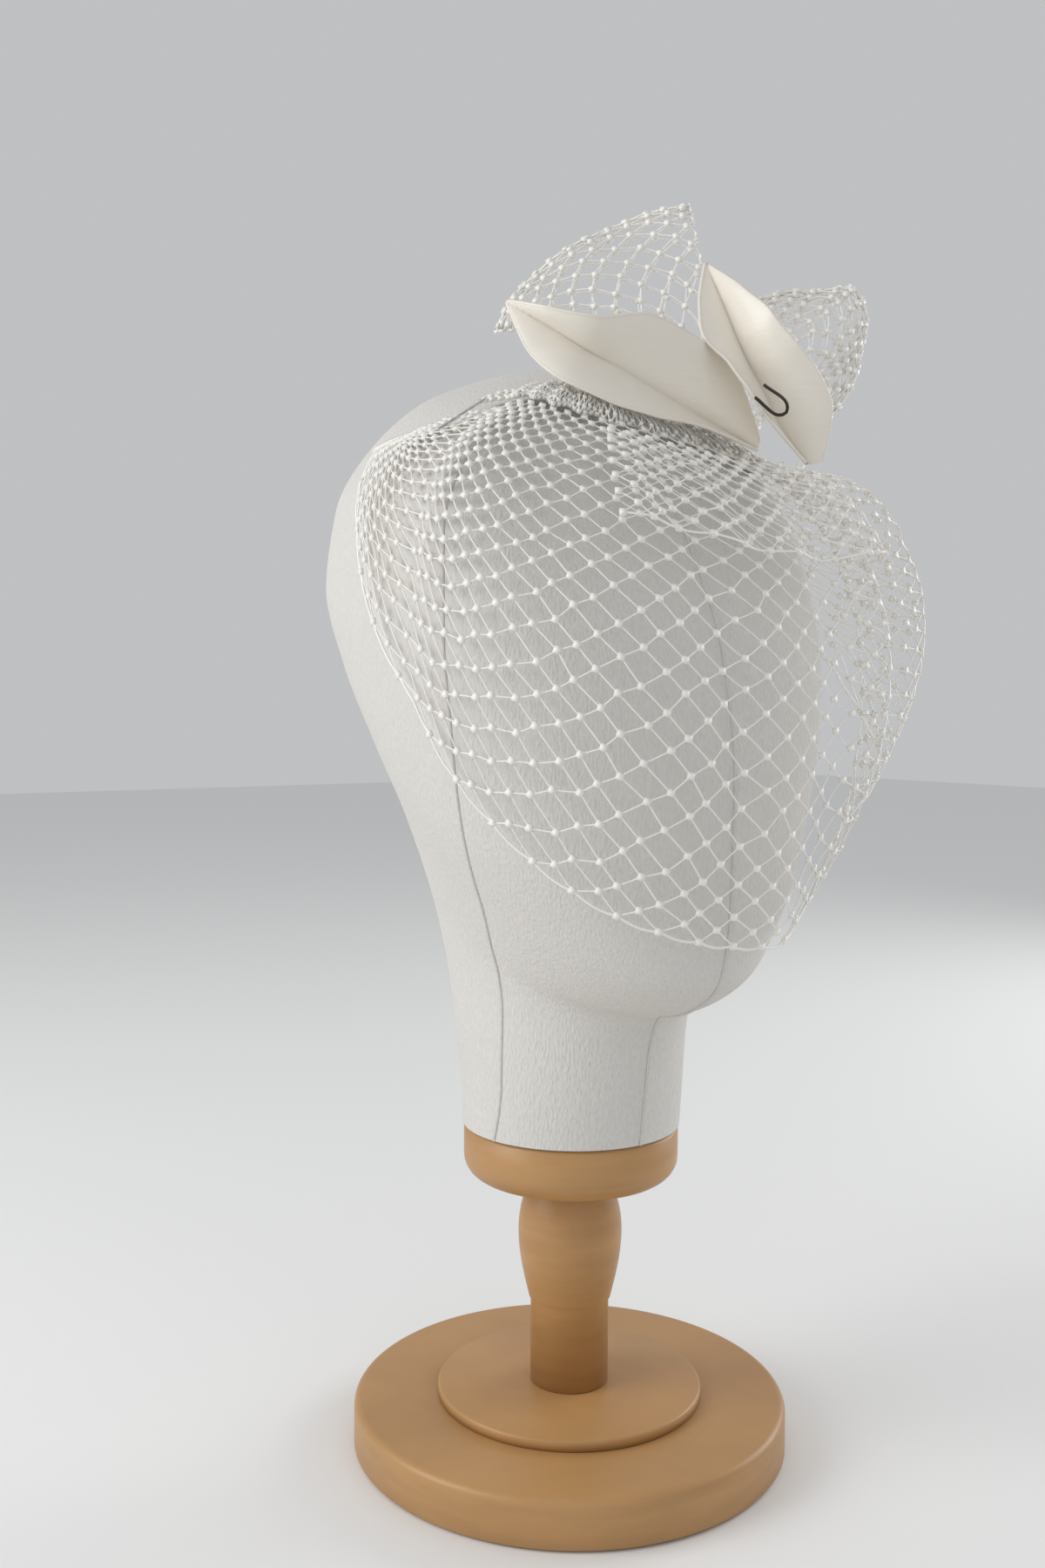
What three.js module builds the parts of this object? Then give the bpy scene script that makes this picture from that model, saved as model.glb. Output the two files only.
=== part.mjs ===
// Birdcage veil on a display head: ivory diamond netting gathered over the crown of a
// linen-covered head form, with a two-loop netting bow, two wired silk leaves, a dress pin
// and a hair grip. The head form stands on a turned beech stand.
// Millimetres, +Z up. The origin is the centre of the stand's underside. The face looks
// along -Y, and the wearer's right is -X.
import * as THREE from "three";
import { mergeVertices } from "three/addons/utils/BufferGeometryUtils.js";

// ---------------------------------------------------------------- driving dimensions
const STAND = {
  baseRadius: 80,
  baseHeight: 17,
  edgeRound: 3,
  stepRadius: 49,
  stepHeight: 4,
  stemRadius: 14.5,
  neckingHeight: 53,
  neckingRadius: 15.2,
  bulbWidestHeight: 78,
  bulbRadius: 19.2,
  bulbTopHeight: 94,
  bulbTopRadius: 16,
  collarUnderside: 99,
  collarRadius: 39.6,
  collarTop: 118.4,
};
const SEAM = 0.3; // clearance between pieces that meet
const LINEN_BOTTOM = 119;
const NET_WALL = 1.2;
const SILK_WALL = 1.6;
const NET_GAP = 1.6; // the net's inner face above the linen
const BOW_GATHER = new THREE.Vector3(66, -14, 372);
const LEAF_JOIN = new THREE.Vector3(63, -41, 362);
const SIDE_LEAF_FOOT = new THREE.Vector3(56, -47, 363);
const UPRIGHT_LEAF_FOOT = new THREE.Vector3(61, -49, 361);
const PIN = { wire: 0.8, head: 2.2, length: 18 };
const GRIP = { wire: 1.2, length: 13, spread: 5 };

const deg = (angle) => (angle * Math.PI) / 180;

// ---------------------------------------------------------------- colours
const finish = (color, roughness, metalness = 0) =>
  new THREE.MeshStandardMaterial({ color, roughness, metalness });
const beech = () => finish("#c08a4a", 0.45);
const linen = () => finish("#e6e4df", 0.9);
const netting = () => finish("#f1efea", 0.6);
const silk = () => finish("#f0eadf", 0.5);
const steel = () => finish("#8f959b", 0.3, 1);
const darkWire = () => finish("#3c332b", 0.4, 0.8);

// ---------------------------------------------------------------- tables read as curves
// A row's value between rows: a cubic through the rows whose slopes never overshoot.
function readTable(rows, column, at) {
  const last = rows.length - 1;
  const from = Math.min(Math.floor(Math.max(at, 0)), last - 1);
  const part = Math.min(Math.max(at, 0), last) - from;
  const value = (i) => rows[Math.min(Math.max(i, 0), last)][column];
  const slope = (i) => {
    const before = value(i) - value(i - 1);
    const after = value(i + 1) - value(i);
    return before * after > 0 ? (2 * before * after) / (before + after) : 0;
  };
  const p2 = part * part;
  const p3 = p2 * part;
  return (
    value(from) * (2 * p3 - 3 * p2 + 1) +
    value(from + 1) * (3 * p2 - 2 * p3) +
    slope(from) * (p3 - 2 * p2 + part) +
    slope(from + 1) * (p3 - p2)
  );
}

// A line through three heights at 0, half and 1.
const throughThree = (start, middle, end, t) =>
  start * (2 * t - 1) * (t - 1) + middle * 4 * t * (1 - t) + end * t * (2 * t - 1);

// ---------------------------------------------------------------- closed shapes from grids
// Turns a list of points and a list of triangles into a mesh with its own material.
function meshOf(name, points, triangles, material) {
  const geometry = new THREE.BufferGeometry().setFromPoints(points);
  geometry.setIndex(triangles.flat());
  const merged = mergeVertices(geometry, 1e-4);
  merged.computeVertexNormals();
  const mesh = new THREE.Mesh(merged, material);
  mesh.name = name;
  return mesh;
}

// The grid's unit normals, from the differences between neighbouring points.
function gridNormals(grid, turn) {
  return grid.map((row, i) =>
    row.map((point, j) => {
      const above = grid[Math.min(i + 1, grid.length - 1)][j];
      const below = grid[Math.max(i - 1, 0)][j];
      const right = row[Math.min(j + 1, row.length - 1)];
      const left = row[Math.max(j - 1, 0)];
      const along = new THREE.Vector3().subVectors(above, below);
      const across = new THREE.Vector3().subVectors(right, left);
      return along.cross(across).normalize().multiplyScalar(turn);
    }),
  );
}

// A wall of the given thickness on a grid of points, closed round its four edges.
// turn is 1 or -1, whichever makes the grid's normal point out of the face.
function wall(name, grid, thickness, material, turn = 1) {
  const rows = grid.length;
  const columns = grid[0].length;
  const normals = gridNormals(grid, turn);
  const points = [];
  for (const side of [thickness / 2, -thickness / 2])
    grid.forEach((row, i) =>
      row.forEach((p, j) => points.push(p.clone().addScaledVector(normals[i][j], side))),
    );
  const outer = (i, j) => i * columns + j;
  const inner = (i, j) => rows * columns + i * columns + j;
  const triangles = [];
  const quad = (a, b, c, d) => {
    const corners = turn > 0 ? [a, b, c, d] : [d, c, b, a];
    triangles.push([corners[0], corners[1], corners[2]], [corners[0], corners[2], corners[3]]);
  };
  for (let i = 0; i < rows - 1; i++)
    for (let j = 0; j < columns - 1; j++) {
      quad(outer(i, j), outer(i + 1, j), outer(i + 1, j + 1), outer(i, j + 1));
      quad(inner(i, j), inner(i, j + 1), inner(i + 1, j + 1), inner(i + 1, j));
    }
  for (let j = 0; j < columns - 1; j++) {
    quad(outer(0, j), outer(0, j + 1), inner(0, j + 1), inner(0, j));
    quad(outer(rows - 1, j + 1), outer(rows - 1, j), inner(rows - 1, j), inner(rows - 1, j + 1));
  }
  for (let i = 0; i < rows - 1; i++) {
    quad(outer(i + 1, 0), outer(i, 0), inner(i, 0), inner(i + 1, 0));
    quad(outer(i, columns - 1), outer(i + 1, columns - 1), inner(i + 1, columns - 1),
      inner(i, columns - 1));
  }
  return meshOf(name, points, triangles, material);
}

// A solid through closed rings of equal length, with a point or a flat fan at each end.
function ringSolid(name, rings, material) {
  const around = rings[0].length;
  const points = rings.flat();
  const triangles = [];
  for (let i = 0; i < rings.length - 1; i++)
    for (let j = 0; j < around; j++) {
      const next = (j + 1) % around;
      const a = i * around + j;
      const b = i * around + next;
      triangles.push([a, b, b + around], [a, b + around, a + around]);
    }
  for (const end of [0, rings.length - 1]) {
    const middle = new THREE.Vector3();
    rings[end].forEach((p) => middle.addScaledVector(p, 1 / around));
    points.push(middle);
    for (let j = 0; j < around; j++) {
      const a = end * around + j;
      const b = end * around + ((j + 1) % around);
      triangles.push(end === 0 ? [b, a, points.length - 1] : [a, b, points.length - 1]);
    }
  }
  return meshOf(name, points, triangles, material);
}

// A grid of points, one for each step of the two parameters, each from 0 to 1.
function gridOf(rows, columns, pointAt) {
  return Array.from({ length: rows + 1 }, (_, i) =>
    Array.from({ length: columns + 1 }, (_, j) => pointAt(i / rows, j / columns)),
  );
}

// ---------------------------------------------------------------- turned beech stand
function turned(name, profile, segments) {
  const outline = profile.map(([radius, height]) => new THREE.Vector2(radius, height));
  const mesh = new THREE.Mesh(new THREE.LatheGeometry(outline, segments), beech());
  mesh.geometry.deleteAttribute("normal");
  mesh.geometry.deleteAttribute("uv");
  mesh.geometry.rotateX(Math.PI / 2);
  mesh.geometry = mergeVertices(mesh.geometry, 1e-4);
  mesh.geometry.computeVertexNormals();
  mesh.name = name;
  return mesh;
}

// A quarter round from the angle from to the angle to about a centre, as profile points.
function roundEdge(radius, height, round, from, to, steps = 3) {
  return Array.from({ length: steps + 1 }, (_, i) => {
    const angle = deg(from + ((to - from) * i) / steps);
    return [radius + round * Math.cos(angle), height + round * Math.sin(angle)];
  });
}

function baseDisc() {
  const { baseRadius, baseHeight, edgeRound } = STAND;
  const inner = baseRadius - edgeRound;
  return turned("base_disc", [
    [0, 0],
    [baseRadius - 1, 0],
    [baseRadius, 1],
    ...roundEdge(inner, baseHeight - edgeRound, edgeRound, 0, 90),
    [0, baseHeight],
  ], 64);
}

function stepDisc() {
  const { baseHeight, stepRadius, stepHeight } = STAND;
  const foot = baseHeight + SEAM;
  const top = baseHeight + stepHeight;
  return turned("step_disc", [
    [0, foot],
    [stepRadius, foot],
    [stepRadius, top - 1],
    [stepRadius - 1, top],
    [0, top],
  ], 48);
}

function stem() {
  const s = STAND;
  const foot = s.baseHeight + s.stepHeight + SEAM;
  // The bulb swells from the necking to its widest and draws in again below the collar.
  const bulb = Array.from({ length: 9 }, (_, i) => {
    const part = i / 8;
    const height = s.neckingHeight + (s.bulbTopHeight - s.neckingHeight) * part;
    const below = (height - s.neckingHeight) / (s.bulbWidestHeight - s.neckingHeight);
    const above = (height - s.bulbWidestHeight) / (s.bulbTopHeight - s.bulbWidestHeight);
    const radius =
      height < s.bulbWidestHeight
        ? s.neckingRadius + (s.bulbRadius - s.neckingRadius) * Math.sin((below * Math.PI) / 2)
        : s.bulbRadius - (s.bulbRadius - s.bulbTopRadius) * above * above;
    return [radius, height];
  });
  return turned("stem", [
    [0, foot],
    [s.stemRadius, foot],
    [s.stemRadius, s.neckingHeight - 1],
    ...bulb,
    [s.bulbTopRadius - 0.5, s.collarUnderside - SEAM],
    [0, s.collarUnderside - SEAM],
  ], 32);
}

function collar() {
  const { collarUnderside, collarRadius, collarTop } = STAND;
  const round = 8;
  return turned("neck_collar", [
    [0, collarUnderside],
    ...roundEdge(collarRadius - round, collarUnderside + round, round, -90, 0, 4),
    [collarRadius, collarTop - 1],
    [collarRadius - 1, collarTop],
    [0, collarTop],
  ], 48);
}

// ---------------------------------------------------------------- linen head form
// Each row is one tilted ring, from the neck's foot to the crown. It gives the height and
// the place along Y of its front and back points, half its width, where along Y it is
// widest, and how square it is (2 is an ellipse).
const HEAD_RINGS = [
  { frontZ: 119, backZ: 119, frontY: -40, backY: 40, half: 40, wideY: 0, square: 2 },
  { frontZ: 135, backZ: 144, frontY: -42, backY: 49, half: 39, wideY: -3, square: 2 },
  { frontZ: 156, backZ: 176, frontY: -45, backY: 60, half: 39, wideY: -3, square: 2 },
  { frontZ: 166, backZ: 202, frontY: -50, backY: 70, half: 41, wideY: -3, square: 2 },
  { frontZ: 169, backZ: 228, frontY: -61, backY: 80, half: 46, wideY: -4, square: 2 },
  { frontZ: 182, backZ: 254, frontY: -79, backY: 88, half: 56, wideY: -9, square: 2 },
  { frontZ: 208, backZ: 279, frontY: -84, backY: 96, half: 68, wideY: -16, square: 2.1 },
  { frontZ: 248, backZ: 299, frontY: -85, backY: 108, half: 76, wideY: -21, square: 2.2 },
  { frontZ: 288, backZ: 324, frontY: -79, backY: 116, half: 80, wideY: -23, square: 2.3 },
  { frontZ: 322, backZ: 351, frontY: -64, backY: 108, half: 79, wideY: -25, square: 2.3 },
  { frontZ: 347, backZ: 376, frontY: -48, backY: 89, half: 69, wideY: -26, square: 2.2 },
  { frontZ: 364, backZ: 393, frontY: -36, backY: 63, half: 48, wideY: -21, square: 2.1 },
  { frontZ: 378, backZ: 397, frontY: -23, backY: 32, half: 24, wideY: -14, square: 2 },
  { frontZ: 391, backZ: 391, frontY: -8, backY: -8, half: 0, wideY: -8, square: 2 },
];
const CROWN = HEAD_RINGS.length - 1;

// A point of the linen: ring is a place in the table, angle is round from the front, and
// negative on the wearer's right.
function headPoint(ring, angle) {
  const of = (column) => readTable(HEAD_RINGS, column, ring);
  const power = 2 / of("square");
  const ahead = Math.cos(angle);
  const aside = Math.sin(angle);
  const reach = Math.sign(ahead) * Math.abs(ahead) ** power;
  const frontY = of("frontY");
  const backY = of("backY");
  const wideY = of("wideY");
  const x = of("half") * Math.sign(aside) * Math.abs(aside) ** power;
  const y = wideY + (ahead > 0 ? frontY - wideY : wideY - backY) * reach;
  const tilt = backY > frontY ? (y - frontY) / (backY - frontY) : 0;
  return new THREE.Vector3(x, y, of("frontZ") + (of("backZ") - of("frontZ")) * tilt);
}

// The same point moved out from the linen by lift, square to its surface.
function overHead(ring, angle, lift) {
  const step = 0.06;
  const up = headPoint(ring + step, angle).sub(headPoint(ring - step, angle));
  const round = headPoint(ring, angle + step).sub(headPoint(ring, angle - step));
  return headPoint(ring, angle).addScaledVector(round.cross(up).normalize(), lift);
}

function headForm() {
  const around = 40;
  const steps = 36;
  const rings = Array.from({ length: steps }, (_, i) =>
    Array.from({ length: around }, (_, j) =>
      headPoint((CROWN * i) / steps, (2 * Math.PI * j) / around),
    ),
  );
  rings.push(rings[0].map(() => headPoint(CROWN, 0)));
  rings[0].forEach((p) => p.setZ(LINEN_BOTTOM));
  const points = rings.slice(0, -1);
  return crownedSolid("head_form", points, headPoint(CROWN, 0), linen());
}

// Rings closed by a flat fan below and by one crown point above.
function crownedSolid(name, rings, crown, material) {
  const around = rings[0].length;
  const points = [...rings.flat(), new THREE.Vector3(0, 0, rings[0][0].z), crown];
  const [bottom, top] = [points.length - 2, points.length - 1];
  const lastRing = (rings.length - 1) * around;
  const triangles = [];
  for (let j = 0; j < around; j++) {
    const next = (j + 1) % around;
    triangles.push([next, j, bottom], [lastRing + j, lastRing + next, top]);
    for (let i = 0; i < rings.length - 1; i++) {
      const a = i * around + j;
      const b = i * around + next;
      triangles.push([a, b, b + around], [a, b + around, a + around]);
    }
  }
  return meshOf(name, points, triangles, material);
}

// ---------------------------------------------------------------- face veil
// Each row is one station round the veil, from the pinned corner on the wearer's right to
// the corner on the left. It gives the angle and the head ring of the gathered heading and
// of the free hem, in degrees and rings, and how far the net stands off the linen at the
// heading, halfway down and at the hem. Two flutes stand out at the left of the face.
const VEIL_STATIONS = [
  { topAngle: -101, topRing: 10.35, hemAngle: -116, hemRing: 9.9, top: 0, middle: 0, hem: 0 },
  { topAngle: -97, topRing: 10.7, hemAngle: -107, hemRing: 9.1, top: 0, middle: 1, hem: 1 },
  { topAngle: -90, topRing: 11, hemAngle: -101, hemRing: 8.3, top: 0, middle: 1, hem: 2 },
  { topAngle: -78, topRing: 11.2, hemAngle: -94, hemRing: 7.6, top: 1, middle: 1, hem: 2 },
  { topAngle: -64, topRing: 11.25, hemAngle: -83, hemRing: 6.95, top: 1, middle: 1, hem: 2 },
  { topAngle: -50, topRing: 11.2, hemAngle: -68, hemRing: 6.5, top: 1, middle: 2, hem: 2 },
  { topAngle: -36, topRing: 11.15, hemAngle: -51, hemRing: 6.15, top: 1, middle: 3, hem: 3 },
  { topAngle: -22, topRing: 11.05, hemAngle: -35, hemRing: 5.9, top: 2, middle: 6, hem: 4 },
  { topAngle: -8, topRing: 10.95, hemAngle: -19, hemRing: 5.75, top: 3, middle: 7, hem: 5 },
  { topAngle: 6, topRing: 10.85, hemAngle: -4, hemRing: 5.65, top: 3, middle: 5, hem: 5 },
  { topAngle: 20, topRing: 10.75, hemAngle: 12, hemRing: 5.6, top: 3, middle: 6, hem: 6 },
  { topAngle: 34, topRing: 10.6, hemAngle: 27, hemRing: 5.7, top: 3, middle: 9, hem: 4 },
  { topAngle: 47, topRing: 10.4, hemAngle: 41, hemRing: 6, top: 6, middle: 23, hem: 6 },
  { topAngle: 58, topRing: 10.25, hemAngle: 55, hemRing: 6.4, top: 3, middle: 11, hem: 12 },
  { topAngle: 68, topRing: 10.2, hemAngle: 66, hemRing: 6.8, top: 5, middle: 34, hem: 27 },
  { topAngle: 78, topRing: 10.15, hemAngle: 78, hemRing: 7.2, top: 6, middle: 48, hem: 36 },
  { topAngle: 88, topRing: 10.1, hemAngle: 91, hemRing: 7.8, top: 5, middle: 38, hem: 32 },
  { topAngle: 97, topRing: 10.05, hemAngle: 104, hemRing: 8.7, top: 2, middle: 14, hem: 12 },
  { topAngle: 104, topRing: 9.95, hemAngle: 112, hemRing: 9.5, top: 0, middle: 2, hem: 2 },
];

// The middle of the net's wall: around goes from the right corner to the left one, and
// down from the heading to the hem. more moves the point further off the linen.
function veilPoint(around, down, more = 0) {
  const at = around * (VEIL_STATIONS.length - 1);
  const of = (column) => readTable(VEIL_STATIONS, column, at);
  const ring = of("topRing") + (of("hemRing") - of("topRing")) * down;
  const angle = deg(of("topAngle") + (of("hemAngle") - of("topAngle")) * down);
  const standOff = throughThree(of("top"), of("middle"), of("hem"), down);
  return overHead(ring, angle, NET_GAP + NET_WALL / 2 + Math.max(standOff, 0) + more);
}

const faceVeil = () =>
  wall("veil_net", gridOf(54, 10, (around, down) => veilPoint(around, down)), NET_WALL, netting());

// The loose tuck of the same net that falls over the brow below the leaves.
function browTuck() {
  const from = 0.4;
  const to = 0.72;
  const drop = 0.28;
  const grid = gridOf(22, 5, (around, down) => {
    const puff = 1.5 * Math.sin(9 * Math.PI * around) * down;
    return veilPoint(from + (to - from) * around, 0.1 + drop * down, 4.2 + 4 * down + puff);
  });
  return wall("brow_tuck", grid, NET_WALL, netting());
}

// The ruched heading: the net drawn up on a thread, a soft roll of uneven puffs.
function heading() {
  const [width, height] = [5, 1.6];
  const rings = Array.from({ length: 45 }, (_, i) => {
    const around = 0.06 + (0.9 * i) / 44;
    const at = around * (VEIL_STATIONS.length - 1);
    const ring = readTable(VEIL_STATIONS, "topRing", at);
    const angle = deg(readTable(VEIL_STATIONS, "topAngle", at));
    const fade = Math.sqrt(Math.sin(Math.PI * (0.02 + (0.96 * i) / 44)));
    const puff = fade * (1 + 0.22 * Math.sin(i * 1.9));
    const clear = NET_GAP + height * puff;
    const middle = overHead(ring + 0.36, angle, clear + 0.4);
    const upward = overHead(ring + 0.5, angle, clear).sub(overHead(ring + 0.2, angle, clear));
    const outward = overHead(ring + 0.36, angle, 9).sub(overHead(ring + 0.36, angle, 1));
    upward.normalize();
    outward.normalize();
    return Array.from({ length: 8 }, (_, j) => {
      const turn = (2 * Math.PI * j) / 8;
      return middle
        .clone()
        .addScaledVector(upward, -width * puff * Math.cos(turn))
        .addScaledVector(outward, -height * puff * Math.sin(turn));
    });
  });
  return ringSolid("veil_heading", rings, netting());
}

// ---------------------------------------------------------------- netting bow
// Each loop is a fan of net folded double: it leaves the gather, rounds over its far fold
// and comes back. A row is one spoke of the fan, as the place of its fold from the gather.
const LEFT_LOOP = [
  { x: -68, y: 62, z: 44, rise: 14 },
  { x: -65, y: 57, z: 56, rise: 10 },
  { x: -56, y: 48, z: 68, rise: 7 },
  { x: -42, y: 36, z: 79, rise: 4 },
  { x: -26, y: 22, z: 87, rise: 2 },
  { x: -14, y: 12, z: 89, rise: 2 },
];
const RIGHT_LOOP = [
  { x: 14, y: 8, z: 56, rise: 2 },
  { x: 29, y: 0, z: 62, rise: 3 },
  { x: 47, y: -12, z: 64, rise: 4 },
  { x: 54, y: -16, z: 48, rise: 5 },
  { x: 51, y: -14, z: 31, rise: 6 },
  { x: 42, y: -8, z: 14, rise: 8 },
];
const LOOP = { start: 0.14, apart: 3.2, ripple: 1.6 };

function bowLoop(name, spokes, side) {
  const grid = gridOf(15, 16, (along, path) => {
    const at = along * (spokes.length - 1);
    const of = (column) => readTable(spokes, column, at);
    const out = new THREE.Vector3(of("x"), of("y"), of("z"));
    const sweep = new THREE.Vector3(
      readTable(spokes, "x", at + 0.2) - readTable(spokes, "x", at - 0.2),
      readTable(spokes, "y", at + 0.2) - readTable(spokes, "y", at - 0.2),
      readTable(spokes, "z", at + 0.2) - readTable(spokes, "z", at - 0.2),
    );
    const faceOut = new THREE.Vector3().crossVectors(sweep, out).normalize();
    // The path round the fold: out along one layer, a half turn, and back along the other.
    const turn = Math.PI * path;
    const reach = LOOP.start + (1 - LOOP.start) * Math.sin(turn) ** 0.6;
    const layer = LOOP.apart * Math.cos(turn) * (0.35 + 0.65 * Math.sin(turn));
    const ripple = LOOP.ripple * Math.sin(along * 5 * Math.PI) * reach;
    return BOW_GATHER.clone()
      .addScaledVector(out, reach)
      .addScaledVector(faceOut, side * (layer + ripple) + side * 2 * (1 - reach))
      .add(new THREE.Vector3(0, 0, of("rise") * 4 * reach * (1 - reach)));
  });
  return wall(name, grid, NET_WALL, netting(), side);
}

// ---------------------------------------------------------------- silk leaves
// Each row is one section across a leaf, from its stem to its tip: the place of the midrib
// from the joint, and the near and far edges from the midrib, in millimetres.
const SIDE_LEAF = [
  { x: -8, y: 3, z: 1, nearX: -3, nearY: -3, nearZ: -1, farX: 0, farY: -1, farZ: 3 },
  { x: -26, y: 12, z: 11, nearX: -12, nearY: -11, nearZ: -5, farX: 8, farY: -6, farZ: 17 },
  { x: -41, y: 16, z: 18, nearX: -15, nearY: -11, nearZ: -10, farX: 10, farY: -6, farZ: 20 },
  { x: -57, y: 19, z: 25, nearX: -15, nearY: -9, nearZ: -13, farX: 7, farY: -8, farZ: 18 },
  { x: -72, y: 22, z: 31, nearX: -12, nearY: -5, nearZ: -13, farX: -2, farY: -11, farZ: 8 },
  { x: -83, y: 29, z: 39, nearX: -7, nearY: 1, nearZ: -9, farX: -3, farY: -8, farZ: 3 },
  { x: -92, y: 39, z: 47, nearX: 0, nearY: 0, nearZ: -0.6, farX: 0, farY: 0, farZ: 0.6 },
];
const UPRIGHT_LEAF = [
  { x: 2, y: -5, z: -2, nearX: -3, nearY: -2, nearZ: 0, farX: 4, farY: -3, farZ: 1 },
  { x: -7, y: 1, z: 12, nearX: -12, nearY: -10, nearZ: -3, farX: 12, farY: -14, farZ: 7 },
  { x: -11, y: 5, z: 24, nearX: -17, nearY: -12, nearZ: -5, farX: 9, farY: -17, farZ: 6 },
  { x: -14, y: 10, z: 35, nearX: -18, nearY: -11, nearZ: -6, farX: 4, farY: -19, farZ: 4 },
  { x: -15, y: 16, z: 47, nearX: -18, nearY: -5, nearZ: -7, farX: 0, farY: -19, farZ: 2 },
  { x: -15, y: 23, z: 60, nearX: -12, nearY: -2, nearZ: -5, farX: -1, farY: -13, farZ: 0 },
  { x: -14, y: 32, z: 74, nearX: -0.5, nearY: 0, nearZ: 0, farX: 0.5, farY: 0, farZ: 0 },
];

function leaf(name, sections, foot) {
  const cup = 0.16;
  const grid = gridOf(16, 8, (along, across) => {
    const at = along * (sections.length - 1);
    const of = (column) => readTable(sections, column, at);
    const side = across < 0.5 ? "near" : "far";
    const part = Math.abs(2 * across - 1);
    const edge = new THREE.Vector3(of(side + "X"), of(side + "Y"), of(side + "Z"));
    const belly = new THREE.Vector3(-0.5, -0.6, -0.62).multiplyScalar(-cup * edge.length());
    return foot
      .clone()
      .add(new THREE.Vector3(of("x"), of("y"), of("z")))
      .addScaledVector(edge, part)
      .addScaledVector(belly, -4 * part * (1 - part));
  });
  return wall(name, grid, SILK_WALL, silk());
}

// ---------------------------------------------------------------- pin and hair grip
// A rod with rounded ends between two points.
function rod(name, from, to, radius, material, segments = 10) {
  const length = from.distanceTo(to);
  const geometry = new THREE.CapsuleGeometry(radius, length, 3, segments);
  geometry.deleteAttribute("normal");
  geometry.deleteAttribute("uv");
  const mesh = new THREE.Mesh(mergeVertices(geometry, 1e-4), material);
  mesh.position.copy(from).add(to).multiplyScalar(0.5);
  mesh.quaternion.setFromUnitVectors(
    new THREE.Vector3(0, 1, 0),
    to.clone().sub(from).normalize(),
  );
  mesh.name = name;
  return mesh;
}

function dressPin() {
  const foot = overHead(10.3, deg(-96), NET_GAP + NET_WALL + 1.4);
  const top = overHead(10.75, deg(-93), NET_GAP + NET_WALL + 2.6);
  const direction = top.clone().sub(foot).normalize();
  top.copy(foot).addScaledVector(direction, PIN.length);
  return rod("dress_pin", foot, top, PIN.wire / 2, steel(), 8);
}

function hairGrip() {
  const radius = GRIP.wire / 2;
  const bend = LEAF_JOIN.clone().add(new THREE.Vector3(-20, -20, 13));
  const along = new THREE.Vector3(-0.86, -0.1, 0.3).normalize();
  const apart = new THREE.Vector3(0.2, -0.5, 0.84).cross(along).cross(along).normalize();
  const prong = (side) =>
    bend.clone().addScaledVector(along, GRIP.length).addScaledVector(apart, side * GRIP.spread / 2);
  const path = new THREE.CatmullRomCurve3([
    prong(1),
    bend.clone().addScaledVector(apart, GRIP.spread / 2),
    bend.clone().addScaledVector(along, -GRIP.spread / 2),
    bend.clone().addScaledVector(apart, -GRIP.spread / 2),
    prong(-1),
  ]);
  const section = new THREE.Shape().absarc(0, 0, radius, 0, 2 * Math.PI);
  const geometry = new THREE.ExtrudeGeometry(section, {
    steps: 20,
    curveSegments: 4,
    extrudePath: path,
  });
  const points = geometry.getAttribute("position");
  const list = Array.from({ length: points.count }, (_, i) =>
    new THREE.Vector3().fromBufferAttribute(points, i),
  );
  const triangles = Array.from({ length: points.count / 3 }, (_, i) => [3 * i, 3 * i + 1, 3 * i + 2]);
  return meshOf("hair_grip", list, triangles, darkWire());
}

// ---------------------------------------------------------------- the whole object
const stand = new THREE.Group();
stand.add(baseDisc(), stepDisc(), stem(), collar());

const veil = new THREE.Group();
veil.add(
  faceVeil(),
  browTuck(),
  heading(),
  bowLoop("bow_loop_left", LEFT_LOOP, 1),
  bowLoop("bow_loop_right", RIGHT_LOOP, 1),
  leaf("leaf_side", SIDE_LEAF, SIDE_LEAF_FOOT),
  leaf("leaf_upright", UPRIGHT_LEAF, UPRIGHT_LEAF_FOOT),
  hairGrip(),
  dressPin(),
);

const birdcageVeil = new THREE.Group();
birdcageVeil.add(stand, headForm(), veil);

export default birdcageVeil;
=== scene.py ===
import bpy
from math import radians
import numpy as np
from mathutils import Matrix, Vector


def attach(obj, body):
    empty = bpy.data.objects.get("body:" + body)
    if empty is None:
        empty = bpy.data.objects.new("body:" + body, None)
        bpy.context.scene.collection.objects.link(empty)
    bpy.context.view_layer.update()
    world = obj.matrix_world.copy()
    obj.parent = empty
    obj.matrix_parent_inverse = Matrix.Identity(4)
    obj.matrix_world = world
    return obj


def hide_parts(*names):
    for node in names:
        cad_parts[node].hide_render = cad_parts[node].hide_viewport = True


# Metres, +Z up. The face looks along -Y, and the wearer's right is -X.
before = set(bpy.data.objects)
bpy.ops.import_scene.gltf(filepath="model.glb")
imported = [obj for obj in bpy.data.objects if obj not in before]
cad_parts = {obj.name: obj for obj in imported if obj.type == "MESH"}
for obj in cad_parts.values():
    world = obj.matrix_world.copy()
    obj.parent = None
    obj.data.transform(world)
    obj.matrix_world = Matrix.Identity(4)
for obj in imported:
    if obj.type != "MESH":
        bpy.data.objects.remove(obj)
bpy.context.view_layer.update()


# ---------------------------------------------------------------- shapes and materials
def mesh_piece(name, node, slot, material, points, faces):
    """One piece: the visual mesh that stands in for its CAD node."""
    mesh = bpy.data.meshes.new(name)
    mesh.from_pydata(np.asarray(points).reshape(-1, 3).tolist(), [], [tuple(map(int, f)) for f in faces])
    mesh.polygons.foreach_set("use_smooth", [True] * len(mesh.polygons))
    mesh.materials.append(material)
    piece = bpy.data.objects.new(name, mesh)
    bpy.context.scene.collection.objects.link(piece)
    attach(piece, "root")
    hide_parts(node)
    return piece


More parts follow.
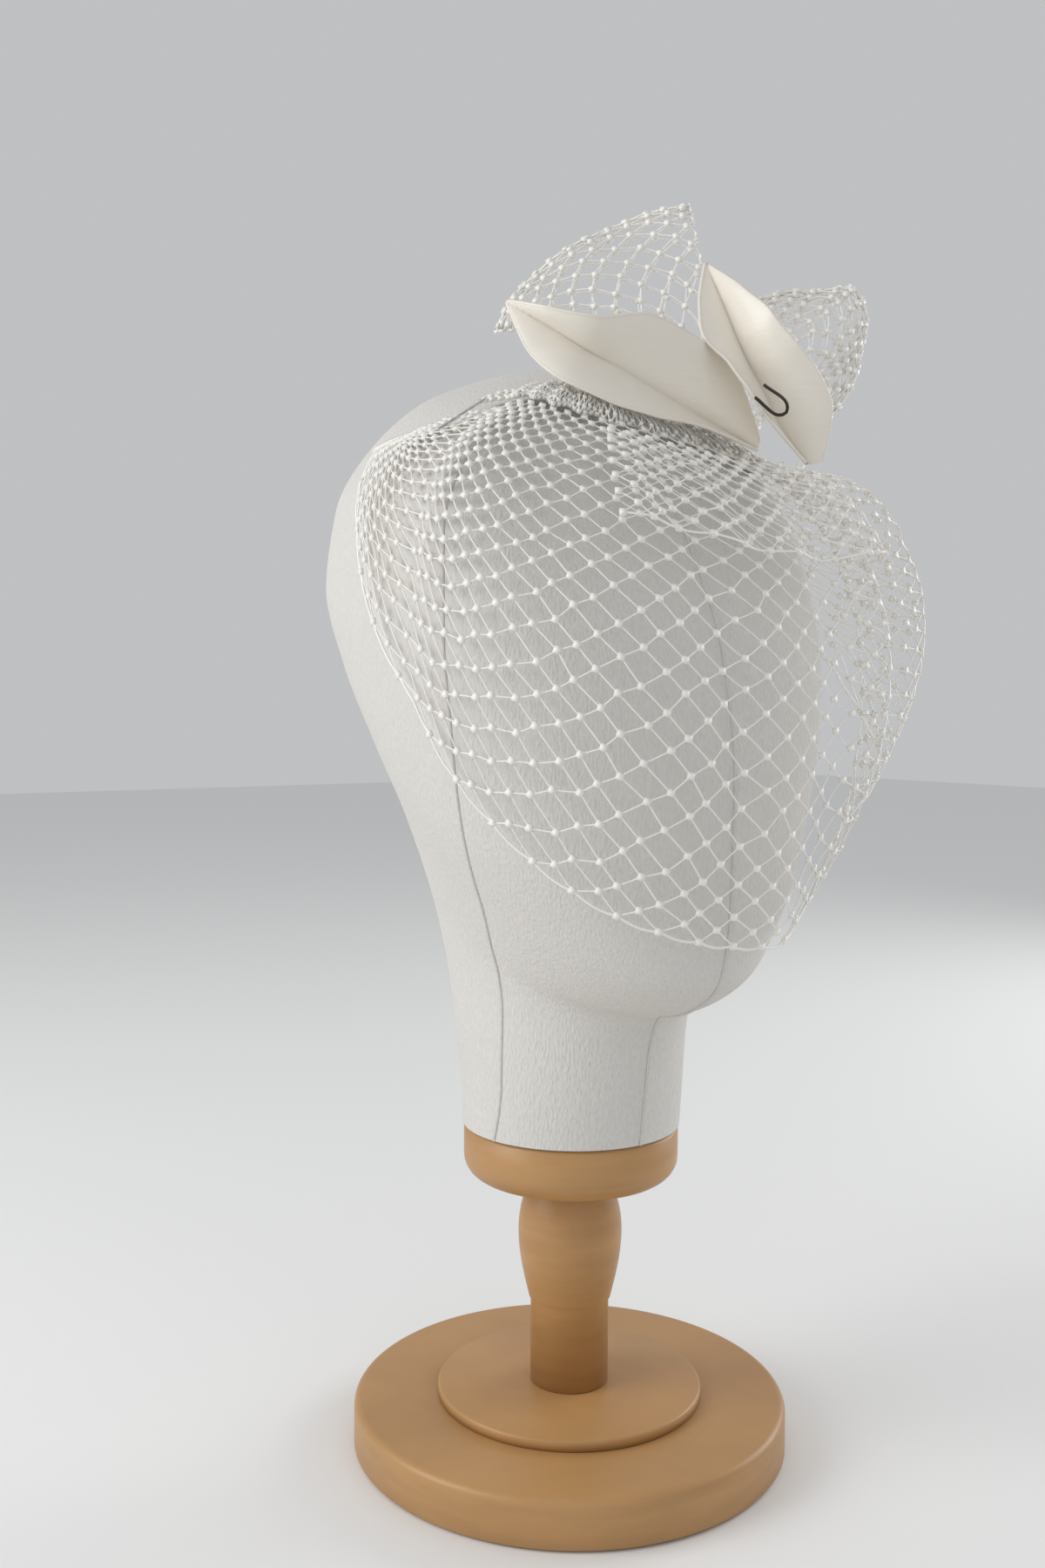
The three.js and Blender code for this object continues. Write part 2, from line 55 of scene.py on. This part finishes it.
def material(name, color, roughness, metallic=0.0, grain=None):
    """A plain surface. grain is (scale along X, Y, Z, depth in metres, colour change)."""
    made = bpy.data.materials.new(name)
    made.use_nodes = True
    tree = made.node_tree
    shader = tree.nodes["Principled BSDF"]
    shader.inputs["Base Color"].default_value = (*color, 1)
    shader.inputs["Roughness"].default_value = roughness
    shader.inputs["Metallic"].default_value = metallic
    if grain:
        place = tree.nodes.new("ShaderNodeTexCoord")
        stretch = tree.nodes.new("ShaderNodeMapping")
        stretch.inputs["Scale"].default_value = grain[:3]
        noise = tree.nodes.new("ShaderNodeTexNoise")
        noise.inputs["Scale"].default_value = 1
        noise.inputs["Detail"].default_value = 4
        bump = tree.nodes.new("ShaderNodeBump")
        bump.inputs["Distance"].default_value = grain[3]
        mix = tree.nodes.new("ShaderNodeMix")
        mix.data_type = "RGBA"
        mix.inputs[6].default_value = (*[c * (1 - grain[4]) for c in color], 1)
        mix.inputs[7].default_value = (*color, 1)
        link = tree.links.new
        link(place.outputs["Object"], stretch.inputs["Vector"])
        link(stretch.outputs["Vector"], noise.inputs["Vector"])
        link(noise.outputs[0], bump.inputs["Height"])
        link(noise.outputs[0], mix.inputs[0])
        link(mix.outputs[2], shader.inputs["Base Color"])
        link(bump.outputs["Normal"], shader.inputs["Normal"])
    return made


def unit(v):
    return v / np.maximum(np.linalg.norm(v, axis=-1, keepdims=True), 1e-12)


def read_table(rows, at):
    """A cubic through the rows whose slopes, the harmonic mean of neighbours, never overshoot."""
    rows = np.asarray(rows, float)
    at = np.clip(at, 0, len(rows) - 1)
    first = np.minimum(np.floor(at).astype(int), len(rows) - 2)
    t = (at - first)[..., None]
    step = np.diff(rows, axis=0)
    before = np.vstack([0 * rows[:1], step])
    after = np.vstack([step, 0 * rows[:1]])
    same = before * after > 0
    slope = np.where(same, 2 * before * after / np.where(same, before + after, 1), 0)
    ends = rows[first] * (2 * t**3 - 3 * t**2 + 1) + rows[first + 1] * (3 * t**2 - 2 * t**3)
    return ends + slope[first] * (t**3 - 2 * t**2 + t) + slope[first + 1] * (t**3 - t**2)


def grid_faces(rows, columns, first=0):
    i, j = np.meshgrid(np.arange(rows - 1), np.arange(columns - 1), indexing="ij")
    a = (first + i * columns + j).ravel()
    return np.stack([a, a + 1, a + columns + 1, a + columns], 1)


def tubes(paths, radius, outward):
    """Four-sided threads. paths is (threads, points, 3), outward the surface normals."""
    count, length = paths.shape[:2]
    along = unit(np.gradient(paths, axis=1))
    aside = unit(np.cross(along, outward))
    up = np.cross(aside, along)
    ring = np.stack([paths + radius * d for d in (up, aside, -up, -aside)], 2)
    base = np.arange(count * (length - 1))
    base = (base // (length - 1)) * length * 4 + (base % (length - 1)) * 4
    faces = [np.stack([base + k, base + (k + 1) % 4, base + 4 + (k + 1) % 4, base + 4 + k], 1) for k in range(4)]
    return ring.reshape(-1, 3), np.vstack(faces)


def normals(surface, u, v):
    e = 0.004
    return unit(np.cross(surface(u + e, v) - surface(u - e, v), surface(u, v + e) - surface(u, v - e)))


def netting(surface, columns, rows, seed, hem=True, thread=0.00027, knot=0.0011):
    """Diamond net: knots at every second crossing of a columns by rows grid, threads between."""
    wander = np.random.default_rng(seed).uniform(-0.16, 0.16, (2, columns + 1, rows + 1))
    wander[0, [0, -1]] = 0
    wander[1, :, [0, -1]] = 0
    i, j = np.meshgrid(np.arange(columns + 1), np.arange(rows + 1), indexing="ij")
    u = (i + wander[0]) / columns
    v = (j + wander[1]) / rows
    starts, ends = [], []
    for di, dj in ((1, 1), (1, -1)):
        ok = ((i + j) % 2 == 0) & (i + di <= columns) & (j + dj <= rows) & (j + dj >= 0)
        starts.append(np.stack([i[ok], j[ok]], 1))
        ends.append(np.stack([i[ok] + di, j[ok] + dj], 1))
    a, b = np.vstack(starts), np.vstack(ends)
    t = np.linspace(0, 1, 4)
    uu = u[a[:, 0], a[:, 1]][:, None] * (1 - t) + u[b[:, 0], b[:, 1]][:, None] * t
    vv = v[a[:, 0], a[:, 1]][:, None] * (1 - t) + v[b[:, 0], b[:, 1]][:, None] * t
    points, faces = tubes(surface(uu, vv), thread, normals(surface, uu, vv))
    keep = (i + j) % 2 == 0
    ku, kv = u[keep], v[keep]
    middle, out = surface(ku, kv), normals(surface, ku, kv)
    side = unit(surface(ku + 0.004, kv) - surface(ku - 0.004, kv))
    up = np.cross(out, side)
    box = np.array([(x, y, z) for x in (-1, 1) for y in (-1, 1) for z in (-1, 1)])
    corners = middle[:, None] + knot * (
        box[:, 0, None] * side[:, None] + box[:, 1, None] * up[:, None] + 0.5 * box[:, 2, None] * out[:, None])
    sides = np.array([(0, 1, 3, 2), (4, 6, 7, 5), (0, 4, 5, 1), (2, 3, 7, 6), (0, 2, 6, 4), (1, 5, 7, 3)])
    knots = (len(points) + 8 * np.arange(len(middle)))[:, None, None] + sides
    points = np.vstack([points, corners.reshape(-1, 3)])
    faces = np.vstack([faces, knots.reshape(-1, 4)])
    if hem:
        s = np.linspace(0, 1, 8 * columns + 1)[None]
        edge = 1 + 0.006 * np.abs(np.sin(np.pi * s * columns / 2))
        more, quads = tubes(surface(s, edge), thread * 1.8, normals(surface, s, edge))
        faces = np.vstack([faces, quads + len(points)])
        points = np.vstack([points, more])
    return points, faces


def lathe(profile, steps=128):
    """A turned solid from (radius, height) pairs, its ends closed on the axis."""
    profile = np.asarray(profile, float)
    turn = 2 * np.pi * np.arange(steps) / steps
    r, z = profile[:, 0, None], profile[:, 1, None]
    points = np.stack([r * np.cos(turn), r * np.sin(turn), z + 0 * turn], -1).reshape(-1, 3)
    i, j = np.meshgrid(np.arange(len(profile) - 1), np.arange(steps), indexing="ij")
    n = (j + 1) % steps
    quads = np.stack([i * steps + j, i * steps + n, (i + 1) * steps + n, (i + 1) * steps + j], -1).reshape(-1, 4)
    caps = [tuple(range(steps))[::-1], tuple(range((len(profile) - 1) * steps, len(profile) * steps))]
    return points, [*quads.tolist(), *caps]


ivory_thread = material("ivory thread", (0.93, 0.91, 0.86), 0.4)
linen = material("linen", (0.76, 0.74, 0.70), 0.92, 0, (1100, 1100, 420, 0.0006, 0.2))
silk = material("silk satin", (0.88, 0.83, 0.74), 0.32, 0, (60, 60, 900, 0.0001, 0.05))
beech = material("beech", (0.56, 0.31, 0.12), 0.4, 0, (25, 25, 160, 0.0002, 0.35))
steel = material("steel", (0.5, 0.52, 0.54), 0.25, 1)
dark_wire = material("dark wire", (0.05, 0.035, 0.025), 0.4, 0.6)

# ---------------------------------------------------------------- turned beech stand
# A base disc, a low step, a stem with a bulb and a collar under the neck, of turned beech.
curve = np.radians(np.linspace(0, 90, 8))
BASE = [(0.079, 0), (0.080, 0.001), *[(0.077 + 0.003 * np.cos(a), 0.014 + 0.003 * np.sin(a)) for a in curve],
        (0.004, 0.017)]
STEP = [(0.049, 0.0173), (0.049, 0.0202), (0.0485, 0.0208), (0.048, 0.021), (0.004, 0.021)]
rise = np.linspace(0, 1, 16)
STEM = [(0.0145, 0.0213), (0.0145, 0.052), (0.0152, 0.053),
        *[(0.0152 + 0.004 * np.sin(a * np.pi / 2), 0.053 + 0.025 * a) for a in rise[1:]],
        *[(0.0192 - 0.0032 * a * a, 0.078 + 0.016 * a) for a in rise[1:]], (0.0155, 0.0987)]
COLLAR = [(0.004, 0.099), *[(0.0316 + 0.008 * np.sin(a), 0.107 - 0.008 * np.cos(a)) for a in curve],
          (0.0396, 0.1174), (0.0386, 0.1184), (0.004, 0.1184)]
for node, profile in (("base_disc", BASE), ("step_disc", STEP), ("stem", STEM), ("neck_collar", COLLAR)):
    turned = mesh_piece(node + "_look", node, "beech", beech, *lathe(profile))
    turned.data.polygons.foreach_set("use_smooth", [len(p.vertices) == 4 for p in turned.data.polygons])

# ---------------------------------------------------------------- linen head
# A faceless head and neck of sewn linen over a light core, standing on the collar.
# Columns: frontZ, backZ, frontY, backY, half, wideY, square.
HEAD_RINGS = [
    (0.119, 0.119, -0.04, 0.04, 0.04, 0, 2),
    (0.135, 0.144, -0.042, 0.049, 0.039, -0.003, 2),
    (0.156, 0.176, -0.045, 0.06, 0.039, -0.003, 2),
    (0.166, 0.202, -0.05, 0.07, 0.041, -0.003, 2),
    (0.169, 0.228, -0.061, 0.08, 0.046, -0.004, 2),
    (0.182, 0.254, -0.079, 0.088, 0.056, -0.009, 2),
    (0.208, 0.279, -0.084, 0.096, 0.068, -0.016, 2.1),
    (0.248, 0.299, -0.085, 0.108, 0.076, -0.021, 2.2),
    (0.288, 0.324, -0.079, 0.116, 0.08, -0.023, 2.3),
    (0.322, 0.351, -0.064, 0.108, 0.079, -0.025, 2.3),
    (0.347, 0.376, -0.048, 0.089, 0.069, -0.026, 2.2),
    (0.364, 0.393, -0.036, 0.063, 0.048, -0.021, 2.1),
    (0.378, 0.397, -0.023, 0.032, 0.024, -0.014, 2),
    (0.391, 0.391, -0.008, -0.008, 0, -0.008, 2),
]


def head_point(ring, angle):
    ring, angle = np.broadcast_arrays(ring, angle)
    fz, bz, fy, by, half, wide, square = np.moveaxis(read_table(HEAD_RINGS, ring), -1, 0)
    power = 2 / square
    ahead, aside = np.cos(angle), np.sin(angle)
    reach = np.sign(ahead) * np.abs(ahead) ** power
    x = half * np.sign(aside) * np.abs(aside) ** power
    y = wide + np.where(ahead > 0, fy - wide, wide - by) * reach
    tilt = np.where(by > fy, (y - fy) / np.where(by > fy, by - fy, 1), 0)
    return np.stack([x, y, fz + (bz - fz) * tilt], -1)


def over_head(ring, angle, lift):
    up = head_point(ring + 0.06, angle) - head_point(ring - 0.06, angle)
    around = head_point(ring, angle + 0.06) - head_point(ring, angle - 0.06)
    return head_point(ring, angle) + unit(np.cross(around, up)) * np.asarray(lift)[..., None]


turn = 2 * np.pi * np.arange(161) / 160
rings = np.linspace(0, 12.97, 150)
shell = head_point(rings[:, None], turn[None])[:, :-1]
shell[0, :, 2] = 0.119
i, j = np.meshgrid(np.arange(149), np.arange(160), indexing="ij")
n = (j + 1) % 160
quads = np.stack([i * 160 + j, i * 160 + n, (i + 1) * 160 + n, (i + 1) * 160 + j], -1).reshape(-1, 4).tolist()
parts = [shell.reshape(-1, 3)]
quads += [tuple(range(160))[::-1], tuple(range(149 * 160, 150 * 160))]
at = np.linspace(0.05, 12.4, 240)
for angle in (0, -80, 80, 180):
    edge = over_head(at, radians(angle) + 0 * at, 0.0001 + 0 * at)[None]
    out = unit(over_head(at, radians(angle) + 0 * at, 0.002 + 0 * at)[None] - edge)
    more, faces = tubes(edge, 0.0006, out)
    quads += (faces + sum(map(len, parts))).tolist()
    parts.append(more)
mesh_piece("head_look", "head_form", "linen", linen, np.vstack(parts), quads)

# ---------------------------------------------------------------- face veil
# One strip of ivory diamond netting, gathered to the heading and free at its hem.
# Columns: topAngle, topRing, hemAngle, hemRing, top, middle, hem.
VEIL_STATIONS = [
    (-101, 10.35, -116, 9.9, 0, 0, 0),
    (-97, 10.7, -107, 9.1, 0, 0.001, 0.001),
    (-90, 11, -101, 8.3, 0, 0.001, 0.002),
    (-78, 11.2, -94, 7.6, 0.001, 0.001, 0.002),
    (-64, 11.25, -83, 6.95, 0.001, 0.001, 0.002),
    (-50, 11.2, -68, 6.5, 0.001, 0.002, 0.002),
    (-36, 11.15, -51, 6.15, 0.001, 0.003, 0.003),
    (-22, 11.05, -35, 5.9, 0.002, 0.006, 0.004),
    (-8, 10.95, -19, 5.75, 0.003, 0.007, 0.005),
    (6, 10.85, -4, 5.65, 0.003, 0.005, 0.005),
    (20, 10.75, 12, 5.6, 0.003, 0.006, 0.006),
    (34, 10.6, 27, 5.7, 0.003, 0.009, 0.004),
    (47, 10.4, 41, 6, 0.006, 0.023, 0.006),
    (58, 10.25, 55, 6.4, 0.003, 0.011, 0.012),
    (68, 10.2, 66, 6.8, 0.005, 0.034, 0.027),
    (78, 10.15, 78, 7.2, 0.006, 0.048, 0.036),
    (88, 10.1, 91, 7.8, 0.005, 0.038, 0.032),
    (97, 10.05, 104, 8.7, 0.002, 0.014, 0.012),
    (104, 9.95, 112, 9.5, 0, 0.002, 0.002),
]


def veil_point(around, down, more=0.0):
    t = read_table(VEIL_STATIONS, around * (len(VEIL_STATIONS) - 1))
    ring = t[..., 1] + (t[..., 3] - t[..., 1]) * down
    angle = np.radians(t[..., 0] + (t[..., 2] - t[..., 0]) * down)
    off = t[..., 4] * (2 * down - 1) * (down - 1) + t[..., 5] * 4 * down * (1 - down) + t[..., 6] * down * (2 * down - 1)
    return over_head(ring, angle, 0.0022 + np.maximum(off, 0) + more)


veil = mesh_piece("veil_look", "veil_net", "netting", ivory_thread, *netting(veil_point, 56, 36, 3))


# The turned-up second layer of the same netting over the brow, held at the heading.
def tuck_point(around, down):
    puff = 0.0015 * np.sin(9 * np.pi * around) * down
    return veil_point(0.4 + 0.32 * around, 0.1 + 0.28 * down, 0.0042 + 0.004 * down + puff)


tuck = mesh_piece("tuck_look", "brow_tuck", "netting", ivory_thread, *netting(tuck_point, 24, 12, 5))


# The heading: the gathered edge of the net, bunched into a soft narrow roll.
def heading_point(around, turn):
    at = 0.06 + 0.9 * around
    t = read_table(VEIL_STATIONS, at * (len(VEIL_STATIONS) - 1))
    angle = np.radians(t[..., 0])
    puff = np.sqrt(np.sin(np.pi * np.clip(0.02 + 0.96 * around, 0.01, 0.99))) * (1 + 0.22 * np.sin(around * 84))
    return over_head(t[..., 1] + 0.36 - 0.32 * puff * np.cos(2 * np.pi * turn), angle,
                     0.0030 + 0.0016 * puff * (1 + np.sin(2 * np.pi * turn)))


heading = mesh_piece("heading_look", "veil_heading", "netting", ivory_thread,
                     *netting(heading_point, 140, 8, 7, hem=False, knot=0.0007))

# ---------------------------------------------------------------- netting bow
# Two loops of the same netting, each folded back on itself and gathered at the waist.
# Columns: the fold's x, y, z from the gather, and how far the spoke arches up.
GATHER = np.array([0.066, -0.014, 0.372])
LEFT_LOOP = [
    (-0.068, 0.062, 0.044, 0.014),
    (-0.065, 0.057, 0.056, 0.01),
    (-0.056, 0.048, 0.068, 0.007),
    (-0.042, 0.036, 0.079, 0.004),
    (-0.026, 0.022, 0.087, 0.002),
    (-0.014, 0.012, 0.089, 0.002),
]
RIGHT_LOOP = [
    (0.014, 0.008, 0.056, 0.002),
    (0.029, 0, 0.062, 0.003),
    (0.047, -0.012, 0.064, 0.004),
    (0.054, -0.016, 0.048, 0.005),
    (0.051, -0.014, 0.031, 0.006),
    (0.042, -0.008, 0.014, 0.008),
]
for node, spokes, seed in (("bow_loop_left", LEFT_LOOP, 11), ("bow_loop_right", RIGHT_LOOP, 13)):
    def loop_point(along, path, spokes=spokes):
        at = along * (len(spokes) - 1)
        t = read_table(spokes, at)
        sweep = (read_table(spokes, at + 0.2) - read_table(spokes, at - 0.2))[..., :3]
        face = unit(np.cross(sweep, t[..., :3]))
        turn = np.pi * np.clip(path, 0, 1)
        reach = 0.14 + 0.86 * np.sin(turn) ** 0.6
        layer = 0.0032 * np.cos(turn) * (0.35 + 0.65 * np.sin(turn))
        ripple = 0.0016 * np.sin(along * 5 * np.pi) * reach
        place = GATHER + t[..., :3] * reach[..., None]
        place = place + face * (layer + ripple + 0.002 * (1 - reach))[..., None]
        place[..., 2] += t[..., 3] * 4 * reach * (1 - reach)
        return place

    loop = mesh_piece(node + "_look", node, "netting", ivory_thread, *netting(loop_point, 14, 30, seed, hem=False))

# ---------------------------------------------------------------- silk leaves
# Two leaves of ivory silk satin with narrow turned edges, joined beside the bow.
# Columns: the midrib's x, y, z from the foot, then the near and the far edge from it.
SIDE_LEAF = [
    (-0.008, 0.003, 0.001, -0.003, -0.003, -0.001, 0, -0.001, 0.003),
    (-0.026, 0.012, 0.011, -0.012, -0.011, -0.005, 0.008, -0.006, 0.017),
    (-0.041, 0.016, 0.018, -0.015, -0.011, -0.01, 0.01, -0.006, 0.02),
    (-0.057, 0.019, 0.025, -0.015, -0.009, -0.013, 0.007, -0.008, 0.018),
    (-0.072, 0.022, 0.031, -0.012, -0.005, -0.013, -0.002, -0.011, 0.008),
    (-0.083, 0.029, 0.039, -0.007, 0.001, -0.009, -0.003, -0.008, 0.003),
    (-0.092, 0.039, 0.047, 0, 0, -0.0006, 0, 0, 0.0006),
]
UPRIGHT_LEAF = [
    (0.002, -0.005, -0.002, -0.003, -0.002, 0, 0.004, -0.003, 0.001),
    (-0.007, 0.001, 0.012, -0.012, -0.01, -0.003, 0.012, -0.014, 0.007),
    (-0.011, 0.005, 0.024, -0.017, -0.012, -0.005, 0.009, -0.017, 0.006),
    (-0.014, 0.01, 0.035, -0.018, -0.011, -0.006, 0.004, -0.019, 0.004),
    (-0.015, 0.016, 0.047, -0.018, -0.005, -0.007, 0, -0.019, 0.002),
    (-0.015, 0.023, 0.06, -0.012, -0.002, -0.005, -0.001, -0.013, 0),
    (-0.014, 0.032, 0.074, -0.0005, 0, 0, 0.0005, 0, 0),
]
for node, sections, foot in (
    ("leaf_side", SIDE_LEAF, (0.056, -0.047, 0.363)),
    ("leaf_upright", UPRIGHT_LEAF, (0.061, -0.049, 0.361)),
):
    along, across = np.meshgrid(np.linspace(0, 1, 61), np.linspace(0, 1, 31), indexing="ij")
    t = read_table(sections, along * (len(sections) - 1))
    edge = np.where((across < 0.5)[..., None], t[..., 3:6], t[..., 6:9])
    part = np.abs(2 * across - 1)[..., None]
    belly = np.array([0.5, 0.6, 0.62]) * 0.16 * np.linalg.norm(edge, axis=-1, keepdims=True)
    skin = np.array(foot) + t[..., :3] + edge * part - belly * 4 * part * (1 - part)
    out = unit(np.cross(np.gradient(skin, axis=0), np.gradient(skin, axis=1)))
    top, under = skin + out * 0.0004, skin - out * 0.0004
    outline = np.concatenate([skin[:, 0], skin[::-1, -1]])[None]
    aside = np.concatenate([out[:, 0], out[::-1, -1]])[None]
    rim, rim_faces = tubes(outline, 0.0007, aside)
    faces = np.vstack([grid_faces(61, 31), grid_faces(61, 31, 61 * 31)[:, ::-1], rim_faces + 2 * 61 * 31])
    leaf = mesh_piece(node + "_look", node, "silk", silk, np.vstack([top.reshape(-1, 3), under.reshape(-1, 3), rim]), faces)

# ---------------------------------------------------------------- grip and pin
# A bent wire grip beside the leaves and a steel pin through the net, both of metal: these
# keep their CAD shapes.
for node, metal in (("hair_grip", dark_wire), ("dress_pin", steel)):
    piece = bpy.data.objects[node]
    piece.data.materials.clear()
    piece.data.materials.append(metal)

# ---------------------------------------------------------------- floor, light and camera
bpy.ops.mesh.primitive_plane_add(size=8, location=(0, 0, -0.0005))
floor = bpy.context.object
floor.name = "floor"
floor.data.materials.append(material("pale floor", (0.86, 0.86, 0.85), 0.8))
for name, place, size, power in (
    ("key", (-1.2, 0.38, 0.8), 0.9, 10),
    ("fill", (-0.3, -1.3, 0.9), 1.2, 1.6),
    ("rim", (1.3, -0.1, 0.6), 0.7, 6),
):
    light = bpy.data.lights.new(name, "AREA")
    light.size = size
    light.energy = power
    lamp = bpy.data.objects.new(name, light)
    lamp.location = place
    lamp.rotation_euler = (Vector((0, 0, 0.25)) - Vector(place)).to_track_quat("-Z", "Y").to_euler()
    bpy.context.scene.collection.objects.link(lamp)
world = bpy.data.worlds.new("studio")
world.use_nodes = True
world.node_tree.nodes["Background"].inputs["Color"].default_value = (0.9, 0.91, 0.93, 1)
world.node_tree.nodes["Background"].inputs["Strength"].default_value = 0.58
bpy.context.scene.world = world
lens = bpy.data.cameras.new("camera")
lens.sensor_fit = "VERTICAL"
lens.sensor_height = 36
lens.lens = 34
camera = bpy.data.objects.new("camera", lens)
camera.matrix_world = (
    Matrix.Translation((-0.3304, -0.4306, 0.2728))
    @ Matrix.Rotation(radians(-35.535), 4, "Z")
    @ Matrix.Rotation(radians(86.904), 4, "X")
    @ Matrix.Rotation(radians(0.31), 4, "Z")
)
bpy.context.scene.collection.objects.link(camera)
bpy.context.scene.camera = camera
bpy.context.scene.view_settings.view_transform = "Standard"
